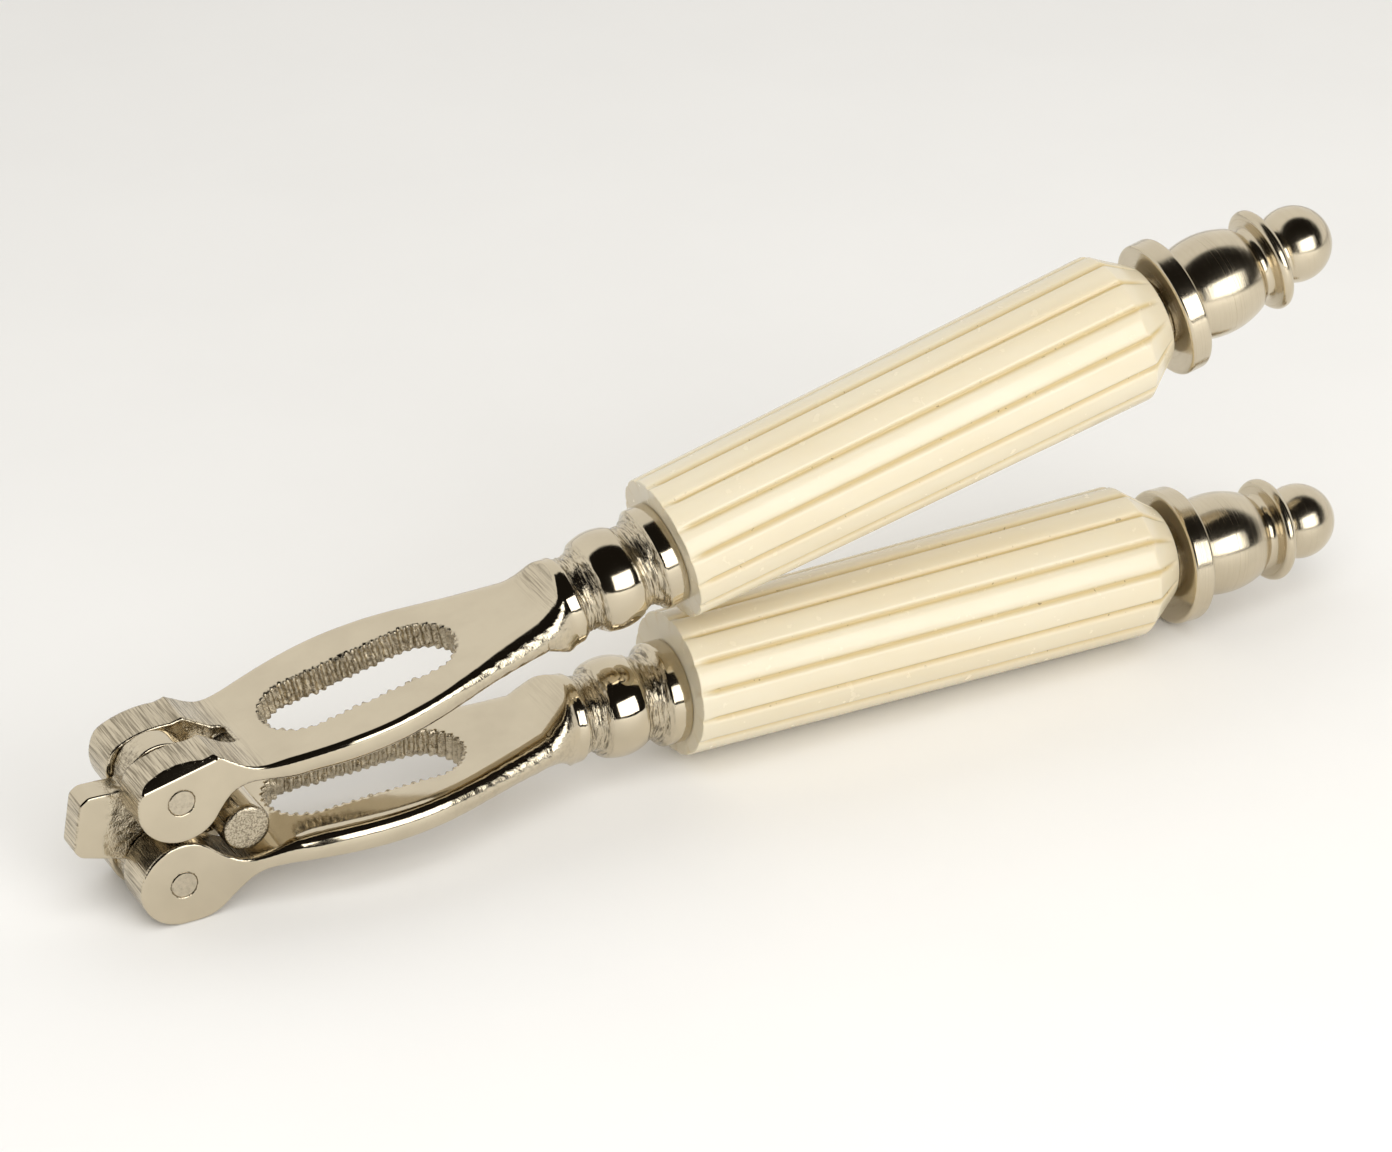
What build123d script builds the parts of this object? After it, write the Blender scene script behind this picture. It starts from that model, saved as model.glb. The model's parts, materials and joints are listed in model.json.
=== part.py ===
from build123d import *
import os
from math import acos, asin, atan2, cos, degrees, hypot, pi, radians, sin

# Reversible two-arm nutcracker: two cast jaws hinged on one link, each with a fluted grip
# that a threaded tang clamps between the jaw's neck and a turned finial.
# Millimetres, +Z up. The tool lies closed on its lower arm: +X runs from the hinge to the
# handles, Y runs along the hinge pins, and the origin is below the middle of the whole tool.
# On each arm, s is the distance from its pin along the arm, and v points away from the other arm.

os.makedirs("parts", exist_ok=True)

# ---- hinge ----
pin_r = 1.67
pin_rivet_clearance = 0.02
pin_running_clearance = 0.05
pin_edge_break = 0.12
knuckle_width = 15.6
knuckle_r = 5.4
knuckle_clearance = 0.4       # between the two knuckles as they turn
pin_spacing = 2 * knuckle_r + knuckle_clearance
fork_gap = 4.0
fork_depth = 8.0
link_side_clearance = 0.15
link_lobe_r = 4.7
link_skew = 8.5               # degrees that the tab end of the link stands above the bar end
bar_r = 3.0
bar_clearance = 0.59          # above the lower jaw's throat
bar_knuckle_gap = 0.1         # between the bar and the knuckle's radius, along the link
bar_reach = knuckle_r + bar_r + bar_knuckle_gap
bar_web = 4.4                 # height of the plate where it meets the bar
bar_length = 14.0
bar_edge_r = 0.5
tab_reach = 10.9
tab_height = 8.0
tab_root_height = 9.4
tab_corner = 0.9
lower_arm_opening = 1.25      # degrees from square to the line through both pins, jaws closed

# ---- jaw casting ----
jaw_length = 53.2             # pin to neck shoulder
jaw_half_width = 11.7
knuckle_end_s = 6.0
throat_s = 8.6
throat_end_s = 12.0
throat_outer_v = 1.1
throat_inner_v = -1.35
plate_outer_v = 0.52          # outer face, carried back to the pin
plate_outer_slope = -1.5      # degrees
plate_root_thickness = 3.2    # where the slot starts
plate_thickness = 3.8         # where the slot ends
plate_neck_thickness = 4.7    # where the ramps to the shoulder start
throat_start_angle = 45       # degrees round the knuckle from its inner side to the throat
upper_knuckle_cut = 1.0       # filed flat on the upper knuckle's outer side
slot_start_s = 14.4
slot_length = 24.8
slot_half_width = 5.0
tooth_pitch = 1.1
tooth_r = 0.42
notch_length = 2.2            # saw run-out past the fork, on the outer face
notch_depth = 0.9

# ---- neck, grip and finial, all on one axis offset from the pin ----
handle_offset = -3.46
ramp_length = 4.7             # plate faces ramp to the shoulder over this length
ramp_start_r = 7.6
shoulder_r = 5.6
shoulder_length = 1.1
cove_r = 4.8
cove_length = 3.3
bead_r = 6.35
bead_edge_r = 5.9
bead_length = 4.7
back_cove_r = 5.25
back_cove_length = 3.2
collar_r = 6.53
collar_length = 2.6

grip_length = 69.9
grip_front_r = 9.2
grip_back_r = 10.0
grip_taper_length = 5.0
grip_end_r = 6.4
upper_grip_shift = 0.35       # outwards from the bore, because the bores are not central
lower_grip_shift = -1.0
flute_count = 15
flute_depth = 0.5
upper_crest_turn = 180        # degrees from the arm's outer side to a crest of the flutes
lower_crest_turn = 0
grip_gap = 0.99               # between the crest circles at the front ends of the grips, jaws closed

tang_r = 2.0
tang_socket_clearance = 0.02
tang_socket_depth = 11.0
tang_grip_clearance = 0.2
tang_finial_reach = 10.0
bore_end_room = 0.5

nut_r = 4.6
nut_length = 1.2
nut_edge_r = 0.2
disc_r = 8.8
disc_length = 2.9
disc_edge_r = 0.45
barrel_lip_r = 5.6
barrel_r = 6.6
barrel_length = 10.9
barrel_end_r = 5.2
finial_cove_r = 4.5
finial_cove_length = 1.2
flange_r = 6.7
flange_length = 2.2
ball_neck_r = 4.0
ball_neck_length = 0.8
ball_r = 4.9


def plate_outer(s):
    """Outer face of the jaw plate at the distance s."""
    return plate_outer_v + s * sin(radians(plate_outer_slope))


# Stations along the handle axis, each from the one before it.
neck_end_s = (jaw_length + shoulder_length + cove_length + bead_length
              + back_cove_length + collar_length)
grip_end_s = neck_end_s + grip_length
disc_s = grip_end_s + nut_length
finial_s = disc_s + disc_length
flange_s = finial_s + barrel_length + finial_cove_length
ball_neck_s = flange_s + flange_length
ball_s = ball_neck_s + ball_neck_length + (ball_r ** 2 - ball_neck_r ** 2) ** 0.5

# The tool rests on the lower knuckle and on the thick end of the lower grip.
grip_foot_s = grip_end_s - grip_taper_length
grip_foot_v = grip_back_r + lower_grip_shift + handle_offset
rest_tilt = degrees(acos(knuckle_r / hypot(grip_foot_s, grip_foot_v)) - atan2(grip_foot_s, grip_foot_v))
link_tilt = rest_tilt - lower_arm_opening

# The arms close until the crest circles at the front ends of their grips are grip_gap apart.
upper_grip_reach = grip_front_r - handle_offset - upper_grip_shift
lower_grip_reach = grip_front_r - handle_offset - lower_grip_shift
closing_rise = lower_grip_reach + grip_gap - pin_spacing * cos(radians(lower_arm_opening))
closed_angle = degrees(asin(closing_rise / hypot(neck_end_s, upper_grip_reach))
                       + atan2(upper_grip_reach, neck_end_s))
upper_tilt = rest_tilt + closed_angle


def tilted(angle):
    """Unit vector in the XZ plane, that many degrees above +X."""
    return Vector(cos(radians(angle)), 0, sin(radians(angle)))


class Arm:
    """Planes and points of one arm; side is +1 for the upper arm and -1 for the lower."""

    def __init__(self, pin, tilt, side):
        self.pin = pin
        self.along = tilted(tilt)
        self.out = tilted(tilt + 90) * side
        self.handle_start = pin + self.out * handle_offset
        across = self.along.cross(self.out)
        self.profile = Plane(pin, x_dir=self.along, z_dir=across)                    # s, v
        self.plan = Plane(pin, x_dir=self.along, z_dir=self.out)                     # s, width
        self.turning = Plane(self.handle_start, x_dir=self.along, z_dir=across)      # s, radius
        self.handle_axis = Axis(self.handle_start, self.along)

    def section(self, s, shift=0):
        """Plane square to the handle axis at the distance s."""
        return Plane(self.handle_point(s) + self.out * shift, x_dir=self.out, z_dir=self.along)

    def handle_point(self, s):
        return self.handle_start + self.along * s


# The pins stand over each other on the link; the whole tool is centred on the origin along X.
link_up = tilted(link_tilt + 90)
tab_tilt = link_tilt - link_skew
bar_height = bar_r + bar_clearance - throat_inner_v - pin_spacing / 2
bar_rise = (bar_height + bar_reach * sin(radians(link_skew))) / cos(radians(link_skew))
hinge_rise = Vector(0, 0, knuckle_r)
left_reach = (tab_reach * cos(radians(tab_tilt)) - (link_up * pin_spacing / 2).X
              + (tab_height / 2 - tab_corner) * sin(radians(-tab_tilt)))
right_reach = max(
    Arm(hinge_rise, rest_tilt, -1).handle_point(ball_s).X,
    Arm(hinge_rise + link_up * pin_spacing, upper_tilt, 1).handle_point(ball_s).X) + ball_r
lower_pin = hinge_rise + Vector((left_reach - right_reach) / 2, 0, 0)
upper_pin = lower_pin + link_up * pin_spacing
link_middle = lower_pin + link_up * pin_spacing / 2


def build_link():
    """Central link: plate with two bored lobes, a stop tab to the left and a cross-bar to the right."""
    plate_half = fork_gap / 2 - link_side_clearance
    front = Plane(link_middle, x_dir=tilted(link_tilt), z_dir=(0, -1, 0))
    skewed = Plane(link_middle, x_dir=tilted(tab_tilt), z_dir=(0, -1, 0))
    with BuildPart() as hinge_link:
        with BuildSketch(front):
            with Locations((0, pin_spacing / 2), (0, -pin_spacing / 2)):
                Circle(link_lobe_r)
            Rectangle(2 * link_lobe_r, pin_spacing)
        extrude(amount=plate_half, both=True)
        with BuildSketch(skewed):
            with BuildLine():
                Polyline(
                    (bar_reach, bar_rise + bar_web / 2), (0, tab_root_height / 2), (-link_lobe_r, tab_root_height / 2),
                    (-tab_reach + tab_corner, tab_height / 2), (-tab_reach, tab_height / 2 - tab_corner),
                    (-tab_reach, tab_corner - tab_height / 2), (-tab_reach + tab_corner, -tab_height / 2),
                    (-link_lobe_r, -tab_root_height / 2), (0, -tab_root_height / 2),
                    (bar_reach, bar_rise - bar_web / 2),
                    close=True)
            make_face()
        extrude(amount=plate_half, both=True)
        with BuildSketch(skewed):
            with Locations((bar_reach, bar_rise)):
                Circle(bar_r)
        extrude(amount=bar_length / 2, both=True)
        bar_ends = hinge_link.edges().filter_by(GeomType.CIRCLE).filter_by(
            lambda edge: abs(abs(edge.center().Y) - bar_length / 2) < bar_edge_r)
        fillet(bar_ends, bar_edge_r)
        with BuildSketch(front):
            with Locations((0, pin_spacing / 2), (0, -pin_spacing / 2)):
                Circle(pin_r + pin_running_clearance)
        extrude(amount=plate_half, both=True, mode=Mode.SUBTRACT)
    return hinge_link


def build_jaw(arm, filed_flat):
    """One casting: forked knuckle, slotted and toothed plate, and the turned neck."""
    ramp_start_s = jaw_length - ramp_length
    slot_end_s = slot_start_s + slot_length
    throat_start = tilted(throat_start_angle - 90) * knuckle_r
    with BuildPart() as jaw:
        with BuildSketch(arm.profile):
            with BuildLine():
                face = Line((ramp_start_s, plate_outer(ramp_start_s)), (throat_end_s, plate_outer(throat_end_s)))
                crown = Spline(
                    face @ 1, (throat_s, throat_outer_v), (1.11 * knuckle_r, 0.65 * knuckle_r),
                    (0.74 * knuckle_r, 0.91 * knuckle_r), (0, knuckle_r), tangents=[face % 1, (-1, 0)])
                back = ThreePointArc(crown @ 1, (-knuckle_r, 0), (throat_start.X, throat_start.Z))
                throat = Spline(
                    back @ 1, (throat_s, throat_inner_v),
                    (slot_start_s, plate_outer(slot_start_s) - plate_root_thickness),
                    tangents=[back % 1, (1, -0.15)])
                belly = Spline(
                    throat @ 1, (slot_end_s, plate_outer(slot_end_s) - plate_thickness),
                    (ramp_start_s, plate_outer(ramp_start_s) - plate_neck_thickness),
                    tangents=[(1, -0.15), (1, -0.15)])
                outer_ramp = TangentArc(face @ 0, (jaw_length, handle_offset + shoulder_r), tangent=-(face % 0))
                Polyline(belly @ 1, (jaw_length, handle_offset - shoulder_r), outer_ramp @ 1)
            make_face()
        extrude(amount=jaw_half_width, both=True)
        with BuildSketch(arm.plan):
            with BuildLine():
                knuckle_half = knuckle_width / 2
                back_end = Line((-2 * knuckle_r, 0), (-2 * knuckle_r, knuckle_half))
                knuckle_side = Line(back_end @ 1, (knuckle_end_s, knuckle_half))
                flank = Spline(
                    knuckle_side @ 1, (0.25 * jaw_length, 0.5 * (knuckle_half + jaw_half_width)),
                    (0.51 * jaw_length, jaw_half_width), (0.8 * jaw_length, 0.5 * (shoulder_r + jaw_half_width)),
                    (jaw_length, shoulder_r), tangents=[(1, 0.25), (1, -0.45)])
                Line(flank @ 1, (jaw_length, 0))
                mirror(about=Plane.XZ)
            make_face()
        extrude(amount=2 * jaw_half_width, both=True, mode=Mode.INTERSECT)
        if filed_flat:
            with BuildSketch(arm.profile):
                with Locations((0, 2 * knuckle_r - upper_knuckle_cut)):
                    Rectangle(2 * throat_s, 2 * knuckle_r)
            extrude(amount=knuckle_width, both=True, mode=Mode.SUBTRACT)
        with BuildSketch(arm.turning):
            Polygon((ramp_start_s, ramp_start_r), (jaw_length, shoulder_r), (jaw_length, 2 * jaw_half_width),
                    (ramp_start_s, 2 * jaw_half_width), align=None)
        revolve(axis=arm.handle_axis, mode=Mode.SUBTRACT)
        with BuildSketch(arm.turning):
            with BuildLine():
                lip = Polyline((jaw_length, 0), (jaw_length, shoulder_r), (jaw_length + shoulder_length, shoulder_r))
                bead_s = jaw_length + shoulder_length + cove_length
                cove = ThreePointArc(lip @ 1, (bead_s - cove_length / 2, cove_r), (bead_s, bead_edge_r))
                bead = ThreePointArc(cove @ 1, (bead_s + bead_length / 2, bead_r),
                                     (bead_s + bead_length, bead_edge_r))
                collar_s = neck_end_s - collar_length
                back_cove = ThreePointArc(bead @ 1, (collar_s - back_cove_length / 2, back_cove_r),
                                          (collar_s, collar_r))
                Polyline(back_cove @ 1, (neck_end_s, collar_r), (neck_end_s, 0), lip @ 0)
            make_face()
        revolve(axis=arm.handle_axis)
        with BuildSketch(arm.plan):
            Rectangle(fork_depth, fork_gap, align=(Align.MIN, Align.CENTER))
            Rectangle(2 * knuckle_r, fork_gap, align=(Align.MAX, Align.CENTER))
        extrude(amount=2 * knuckle_r, both=True, mode=Mode.SUBTRACT)
        with BuildSketch(arm.plan.offset(plate_outer(fork_depth) - notch_depth)):
            with Locations((fork_depth, 0)):
                Rectangle(notch_length, fork_gap, align=(Align.MIN, Align.CENTER))
        extrude(amount=knuckle_r, mode=Mode.SUBTRACT)
        with BuildSketch(arm.plan):
            straight = slot_length - 2 * slot_half_width
            with Locations((slot_start_s + slot_length / 2, 0)):
                SlotOverall(slot_length, 2 * slot_half_width)
            side_teeth = round(straight / tooth_pitch)
            with Locations((slot_start_s + slot_length / 2, 0)):
                with GridLocations(straight / side_teeth, 2 * slot_half_width, side_teeth, 2):
                    Circle(tooth_r)
            end_teeth = round(pi * slot_half_width / tooth_pitch)
            for middle, first in ((slot_start_s + slot_half_width, 90), (slot_end_s - slot_half_width, 270)):
                with Locations((middle, 0)):
                    with PolarLocations(slot_half_width, end_teeth, first + 90 / end_teeth, 180):
                        Circle(tooth_r)
        extrude(amount=2 * knuckle_r, both=True, mode=Mode.SUBTRACT)
        with BuildSketch(arm.profile):
            Circle(pin_r + pin_rivet_clearance)
        extrude(amount=knuckle_width, both=True, mode=Mode.SUBTRACT)
        with BuildSketch(arm.section(neck_end_s)):
            Circle(tang_r + tang_socket_clearance)
        extrude(amount=-(tang_socket_depth + bore_end_room), mode=Mode.SUBTRACT)
    return jaw


def build_pin(arm):
    """Hinge pin, riveted flush with both faces of the knuckle."""
    with BuildPart() as pin:
        with BuildSketch(arm.profile):
            Circle(pin_r)
        extrude(amount=knuckle_width / 2, both=True)
        chamfer(pin.edges().filter_by(GeomType.CIRCLE), pin_edge_break)
    return pin


def build_tang(arm):
    """Steel rod from the neck's tapped socket through the grip into the finial."""
    with BuildPart() as tang:
        with BuildSketch(arm.section(neck_end_s - tang_socket_depth)):
            Circle(tang_r)
        extrude(amount=tang_socket_depth + finial_s - neck_end_s + tang_finial_reach)
    return tang


def build_grip(arm, shift, crest_turn):
    """Fluted sleeve, thickening towards the finial and tapered sharply at its end."""
    crease = 1 - flute_depth / grip_back_r
    half_pitch = pi / flute_count
    middle = arm.handle_start + arm.out * shift
    with BuildPart() as grip:
        for s, r in ((neck_end_s, grip_front_r), (grip_end_s, grip_back_r)):
            with BuildSketch(arm.section(s, shift)):
                with BuildLine():
                    for flute in range(flute_count):
                        crest = radians(crest_turn) + 2 * half_pitch * flute
                        corners = [(size * r * cos(angle), size * r * sin(angle)) for size, angle in (
                            (crease, crest - half_pitch), (1, crest), (crease, crest + half_pitch))]
                        ThreePointArc(*corners)
                make_face()
        loft(ruled=True)
        with BuildSketch(Plane(middle, x_dir=arm.along, z_dir=arm.turning.z_dir)):
            with BuildLine():
                Polyline((neck_end_s, 0), (neck_end_s, 2 * grip_back_r), (grip_foot_s, 2 * grip_back_r),
                         (grip_foot_s, grip_back_r), (grip_end_s, grip_end_r), (grip_end_s, 0), close=True)
            make_face()
        revolve(axis=Axis(middle, arm.along), mode=Mode.INTERSECT)
        with BuildSketch(arm.section(neck_end_s)):
            Circle(tang_r + tang_grip_clearance)
        extrude(amount=grip_length, mode=Mode.SUBTRACT)
    return grip


def build_ring(arm, start_s, length, radius, edge_r):
    """Flat bored ring threaded on the tang, with both outer edges rounded."""
    with BuildPart() as ring:
        with BuildSketch(arm.section(start_s)):
            Circle(radius)
            Circle(tang_r + tang_socket_clearance, mode=Mode.SUBTRACT)
        extrude(amount=length)
        rims = ring.edges().filter_by(GeomType.CIRCLE).group_by(SortBy.RADIUS)[-1]
        fillet(rims, edge_r)
    return ring


def build_finial(arm):
    """Turned end: barrel, rounded flange and ball, tapped blind for the tang."""
    with BuildPart() as finial:
        with BuildSketch(arm.turning):
            with BuildLine():
                lip = Line((finial_s, 0), (finial_s, barrel_lip_r))
                barrel_end_s = finial_s + barrel_length
                barrel = ThreePointArc(lip @ 1, (finial_s + barrel_length / 2, barrel_r),
                                       (barrel_end_s, barrel_end_r))
                cove = ThreePointArc(barrel @ 1, ((barrel_end_s + flange_s) / 2, finial_cove_r),
                                     (flange_s, barrel_end_r))
                flange = ThreePointArc(cove @ 1, (flange_s + flange_length / 2, flange_r),
                                       (ball_neck_s, ball_neck_r))
                ball_start_s = ball_neck_s + ball_neck_length
                neck = Line(flange @ 1, (ball_start_s, ball_neck_r))
                ball_arc_r = ball_r / 2 ** 0.5
                ball = ThreePointArc(neck @ 1, (ball_s + ball_arc_r, ball_arc_r), (ball_s + ball_r, 0))
                Line(ball @ 1, lip @ 0)
            make_face()
        revolve(axis=arm.handle_axis)
        with BuildSketch(arm.section(finial_s)):
            Circle(tang_r + tang_socket_clearance)
        extrude(amount=tang_finial_reach + bore_end_room, mode=Mode.SUBTRACT)
    return finial


def save(piece, name):
    piece.part.label = name
    export_step(piece.part, f"parts/{name}.step")


save(build_link(), "hinge_link")
arms = {"upper": Arm(upper_pin, upper_tilt, 1), "lower": Arm(lower_pin, rest_tilt, -1)}
grip_seats = {"upper": (upper_grip_shift, upper_crest_turn), "lower": (lower_grip_shift, lower_crest_turn)}
for name, arm in arms.items():
    save(build_jaw(arm, filed_flat=name == "upper"), f"{name}_jaw")
    save(build_pin(arm), f"{name}_hinge_pin")
    save(build_tang(arm), f"{name}_tang")
    save(build_grip(arm, *grip_seats[name]), f"{name}_grip")
    save(build_ring(arm, grip_end_s, nut_length, nut_r, nut_edge_r), f"{name}_grip_nut")
    save(build_ring(arm, disc_s, disc_length, disc_r, disc_edge_r), f"{name}_end_disc")
    save(build_finial(arm), f"{name}_finial")

for name, point in (("upper pin", upper_pin), ("lower pin", lower_pin), ("link middle", link_middle)):
    print(name, [round(value, 4) for value in point])
print("tilts: link", round(link_tilt, 4), "lower arm", round(rest_tilt, 4), "upper arm", round(upper_tilt, 4))
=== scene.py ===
import json
from itertools import product
from math import asin, atan2, cos, hypot, pi, radians, sin

import bpy
import numpy as np
from mathutils import Matrix, Vector


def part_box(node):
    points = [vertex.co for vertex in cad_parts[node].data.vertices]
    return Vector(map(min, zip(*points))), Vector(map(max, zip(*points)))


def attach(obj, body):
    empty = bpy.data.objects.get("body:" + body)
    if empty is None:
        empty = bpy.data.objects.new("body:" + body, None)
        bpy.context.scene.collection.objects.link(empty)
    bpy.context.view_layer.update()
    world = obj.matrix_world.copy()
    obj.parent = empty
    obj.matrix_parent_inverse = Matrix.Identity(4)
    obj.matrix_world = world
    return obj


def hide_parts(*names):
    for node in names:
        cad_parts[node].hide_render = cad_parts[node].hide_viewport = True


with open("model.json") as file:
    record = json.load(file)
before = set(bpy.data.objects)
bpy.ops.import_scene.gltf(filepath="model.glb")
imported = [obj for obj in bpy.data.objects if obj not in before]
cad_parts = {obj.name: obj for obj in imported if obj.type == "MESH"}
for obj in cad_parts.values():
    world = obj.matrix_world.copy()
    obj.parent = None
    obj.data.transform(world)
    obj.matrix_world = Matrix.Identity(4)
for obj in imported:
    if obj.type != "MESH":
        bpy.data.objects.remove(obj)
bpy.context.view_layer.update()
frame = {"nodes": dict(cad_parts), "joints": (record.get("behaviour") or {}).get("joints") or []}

# Two-lever nutcracker: nickel castings on a central link, cream fluted grips, turned finials.
# Lengths here are millimetres and are scaled to metres where a mesh is made. On each arm,
# s runs from the pin towards the ball, w across the jaw and v away from the other arm.
MM = 0.001
fine_step = 0.21

# stations along an arm, as s
SLOT_START, SLOT_END = 14.4, 39.2
RAMP, SHOULDER, NECK_END = 48.5, 53.2, 68.1     # starts of the ramps, of the neck and of the grip
SOCKET_START = 56.6                             # inner end of the tang's bore in the neck
GRIP_END, DISC_START, DISC_END = 138.0, 139.2, 142.1

# jaw
HANDLE_OFFSET = -3.46                           # v of the handle's axis
KNUCKLE_R, KNUCKLE_HALF = 5.4, 7.8
FILED_V = 4.55                                  # height of the flat filed on the upper knuckle
BEVEL_V = 3.25                                  # height of the upper bevel on the ear's side
FORK_HALF, FORK_END = 2.0, 8.0
NOTCH_END, NOTCH_V = 10.2, -0.59                # saw's run-out past the fork, and its floor
BORE_R = 1.7
PLATE_V, PLATE_LEAN = 0.52, -0.02618            # outer face carried back to the pin, and its slope
ROOT_THICK, SLOT_THICK, NECK_THICK = 3.2, 3.8, 4.7
SLOT_MIDDLE, SLOT_STRAIGHT, SLOT_R = 26.8, 14.8, 5.0
SIDE_TEETH, END_TEETH, TOOTH_DEPTH = 13, 14, 0.45
SHOULDER_R, COLLAR_R, SOCKET_R = 5.6, 6.53, 2.03
COVES = ((54.2, 54.8, 57.2, 57.8), (62.1, 62.6, 65.0, 65.7))   # where each cove's marks rise and fall

# link
LOBE_R, LOBE_RISE, LINK_HALF, LINK_BORE_R = 4.7, 5.6, 1.85, 1.72
LINK_SKEW = 8.5                                 # degrees that the tab end stands above the bar end
BAR_S, BAR_RISE, BAR_R, BAR_HALF = 8.5, 0.6, 3.0, 7.0
TAB_S, TAB_HALF, TAB_CORNER = 10.9, 4.0, 0.9

# grip
GRIP_R, GRIP_BACK_R, GRIP_TAPER, GRIP_END_R = 9.2, 10.0, 5.0, 6.4
GRIP_TAPER_R = 9.943                            # where the taper starts
GRIP_BORE_R = 2.2
UPPER_GRIP_SHIFT, LOWER_GRIP_SHIFT = 0.35, -1.0
FLUTES = 15
FLUTE_CROWN, CREASE_DEPTH, CREASE_WIDTH = 0.22, 0.40, 0.17    # the width is a share of half a flute

# disc and finial
TANG_BORE_R, DISC_R = 2.05, 8.8
FLOOR_DROP = 0.05                               # keeps the floor's face clear of the lower knuckle's


# ---------------------------------------------------------------- shapes in numbers

def smooth_max(a, b, k):
    """Larger of two fields, with the edge between them rounded over about k."""
    return np.maximum(a, b) + np.maximum(k - np.abs(a - b), 0) ** 2 / (4 * k)


def smooth_min(a, b, k):
    return -smooth_max(-a, -b, k)


def ease(x, start, end):
    t = np.clip((x - start) / (end - start), 0, 1)
    return t * t * (3 - 2 * t)


def relief(p, size, seed):
    """Smooth random relief of about unit height at the points p, with features of the given size."""
    rng = np.random.default_rng(seed)
    total = np.zeros(len(p))
    for _ in range(24):
        wave = rng.normal(size=3) * 2 / np.array(size)
        total += np.sin(p @ wave + rng.uniform(0, 2 * pi))
    return total / 12 ** 0.5


class Curve:
    """Smooth height over s through a few points, with set slopes at both ends, kept as a fine table."""

    def __init__(self, points, first_slope, last_slope):
        s, v = np.array(points, float).T
        n, h = len(s), np.diff(s)
        rise = np.diff(v) / h
        system, target = np.eye(n), np.zeros(n)
        target[0], target[-1] = first_slope, last_slope
        for i in range(1, n - 1):
            system[i, i - 1:i + 2] = h[i], 2 * (h[i - 1] + h[i]), h[i - 1]
            target[i] = 3 * (h[i] * rise[i - 1] + h[i - 1] * rise[i])
        slope = np.linalg.solve(system, target)
        self.s = np.arange(s[0], s[-1], 0.01)
        i = np.clip(np.searchsorted(s, self.s, side="right") - 1, 0, n - 2)
        t = (self.s - s[i]) / h[i]
        self.v = ((1 + 2 * t) * (1 - t) ** 2 * v[i] + t * (1 - t) ** 2 * h[i] * slope[i]
                  + t * t * (3 - 2 * t) * v[i + 1] + t * t * (t - 1) * h[i] * slope[i + 1])

    def joined(self, other):
        """Carry this curve on with another that starts just past its end."""
        self.s, self.v = np.append(self.s, other.s), np.append(self.v, other.v)

    def above(self, s, v):
        """Distance of points above the curve, negative below it."""
        lean = 1 / np.hypot(1, np.gradient(self.v, self.s))
        return (v - np.interp(s, self.s, self.v)) * np.interp(s, self.s, lean)


def outline(start, *moves):
    """Points of a turned outline. A move of two numbers is a line to (s, r); four are an arc through
    one point to another."""
    points = [np.array(start, float)]
    for move in moves:
        a = points[-1]
        if len(move) == 2:
            b = np.array(move, float)
            count = max(2, int(np.linalg.norm(b - a) / 0.04))
            points += [a + (b - a) * k / count for k in range(1, count + 1)]
            continue
        m, b = np.array(move[:2], float), np.array(move[2:], float)
        d = 2 * (a[0] * (m[1] - b[1]) + m[0] * (b[1] - a[1]) + b[0] * (a[1] - m[1]))
        aa, mmm, bb = a @ a, m @ m, b @ b
        centre = np.array([(aa * (m[1] - b[1]) + mmm * (b[1] - a[1]) + bb * (a[1] - m[1])) / d,
                           (aa * (b[0] - m[0]) + mmm * (a[0] - b[0]) + bb * (m[0] - a[0])) / d])
        angles = [atan2(*(q - centre)[::-1]) for q in (a, m, b)]
        turn_m, turn_b = [(angle - angles[0]) % (2 * pi) for angle in angles[1:]]
        sweep = turn_b if turn_m < turn_b else turn_b - 2 * pi
        radius = np.linalg.norm(a - centre)
        count = max(6, int(abs(sweep) * radius / 0.04))
        for k in range(1, count + 1):
            angle = angles[0] + sweep * k / count
            points.append(centre + radius * np.array([cos(angle), sin(angle)]))
    return np.array(points)


def softened(points, blur, spacing):
    """The outline resampled at an even spacing, with its corners rounded over about blur."""
    run = np.append(0, np.cumsum(np.linalg.norm(np.diff(points, axis=0), axis=1)))
    even = np.linspace(0, run[-1], int(run[-1] / spacing) + 1)
    line = np.stack([np.interp(even, run, points[:, i]) for i in (0, 1)], axis=1)
    reach = max(1, int(3 * blur / spacing))
    weight = np.exp(-0.5 * (np.arange(-reach, reach + 1) * spacing / blur) ** 2)
    first, last = line[:1], line[-1:]
    padded = np.vstack([2 * first - line[reach:0:-1], line, 2 * last - line[-2:-reach - 2:-1]])
    result = np.stack([np.convolve(padded[:, i], weight / weight.sum(), "valid") for i in (0, 1)], axis=1)
    result[0], result[-1] = first, last
    return result


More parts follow.
